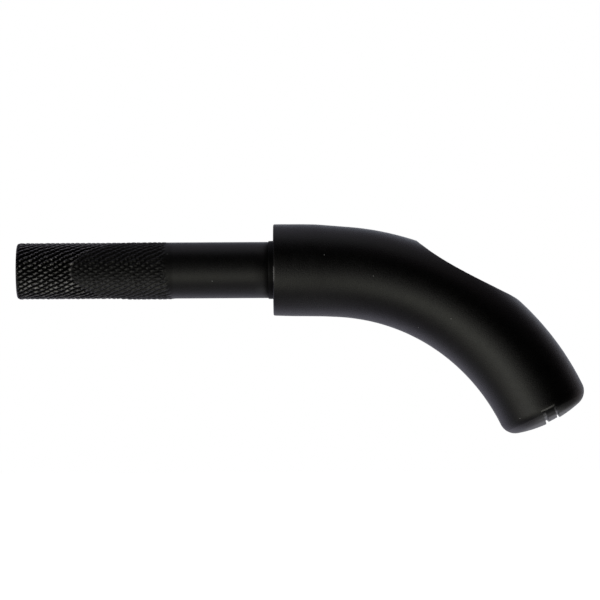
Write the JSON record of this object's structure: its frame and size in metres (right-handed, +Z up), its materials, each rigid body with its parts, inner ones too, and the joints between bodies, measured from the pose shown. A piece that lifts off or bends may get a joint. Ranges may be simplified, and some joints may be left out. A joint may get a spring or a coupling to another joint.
{
  "type": "winch handle",
  "caption": "Bent swivelling hand grip with a scooped thumb rest and domed end plug on a straight knurled shank that presses into a winch crank arm.",
  "frame": {"origin": "centre of the flat tip face of the knurled shank", "axes": "+X along the shank from its tip into the grip, +Z up, the grip bends down towards -Z in the XZ plane, Y across"},
  "size_m": [0.192, 0.0312, 0.0714],
  "materials": {
    "black_steel": "satin black on steel",
    "black_alloy": "fine-grained satin black on alloy",
    "black_plastic": "fine-grained satin black",
    "spring_steel": "dark tempered spring steel",
    "bearing_steel": "ground and polished",
    "turned_alloy": "plain turned",
    "cage_nylon": "moulded nylon",
    "seal_rubber": "black nitrile"
  },
  "bodies": {
    "shank": {"spindle": "black_steel", "front_inner_ring": "bearing_steel", "rear_inner_ring": "bearing_steel", "bearing_spacer": "turned_alloy", "spindle_washer": "bearing_steel", "spindle_circlip": "spring_steel"},
    "grip": {"grip_shell": "black_alloy", "end_plug": "black_plastic", "plug_clip": "spring_steel", "plug_seal": "seal_rubber", "mouth_seal": "seal_rubber", "mouth_retaining_ring": "spring_steel", "bearing_sleeve": "turned_alloy", "front_outer_ring": "bearing_steel", "front_shield_outer": "bearing_steel", "front_shield_inner": "bearing_steel", "rear_outer_ring": "bearing_steel", "rear_shield_outer": "bearing_steel", "rear_shield_inner": "bearing_steel"},
    "front_cage_set": {"front_cage": "cage_nylon", "front_balls": "bearing_steel"},
    "rear_cage_set": {"rear_cage": "cage_nylon", "rear_balls": "bearing_steel"}
  },
  "joints": [
    {"name": "grip_swivel", "type": "hinge", "parent": "shank", "child": "grip", "pos_m": [0.10335, 0, 0], "axis": [1, 0, 0], "continuous": true},
    {"name": "front_cage_orbit", "type": "hinge", "parent": "shank", "child": "front_cage_set", "pos_m": [0.09335, 0, 0], "axis": [1, 0, 0], "continuous": true},
    {"name": "rear_cage_orbit", "type": "hinge", "parent": "shank", "child": "rear_cage_set", "pos_m": [0.11335, 0, 0], "axis": [1, 0, 0], "continuous": true}
  ],
  "couplings": [
    {"joint": "front_cage_orbit", "follows": "grip_swivel", "ratio": 0.5706},
    {"joint": "rear_cage_orbit", "follows": "grip_swivel", "ratio": 0.5706}
  ]
}
